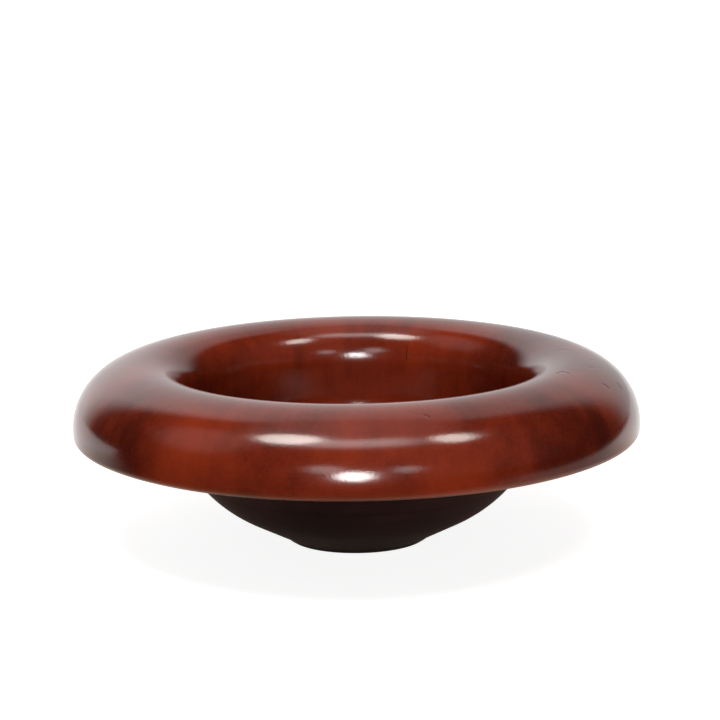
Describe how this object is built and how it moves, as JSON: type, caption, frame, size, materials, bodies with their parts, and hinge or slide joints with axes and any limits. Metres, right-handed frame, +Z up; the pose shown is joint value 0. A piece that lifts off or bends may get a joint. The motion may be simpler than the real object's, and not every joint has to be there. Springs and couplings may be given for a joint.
{
  "type": "centrepiece bowl",
  "caption": "Wide shallow bowl with a fat rolled rim overhanging a small rounded body on a low tapered foot, turned from wood and lacquered red-brown over black-brown.",
  "frame": {"origin": "on the bowl's upright axis, at the table it stands on", "axes": "+Z up along the turning axis; the bowl is round about it, so +X and +Y are any two level directions"},
  "size_m": [0.4, 0.4, 0.129],
  "materials": {
    "red_brown_lacquer": "polished red-brown lacquer over turned wood",
    "dark_brown_lacquer": "dark black-brown lacquer over turned wood, the well inside lacquered red-brown as the rim",
    "black_felt": "pressed wool felt"
  },
  "bodies": {
    "root": {"rolled_rim": "red_brown_lacquer", "bowl_body": "dark_brown_lacquer", "foot_disc": "dark_brown_lacquer", "felt_pad": "black_felt"}
  },
  "joints": []
}
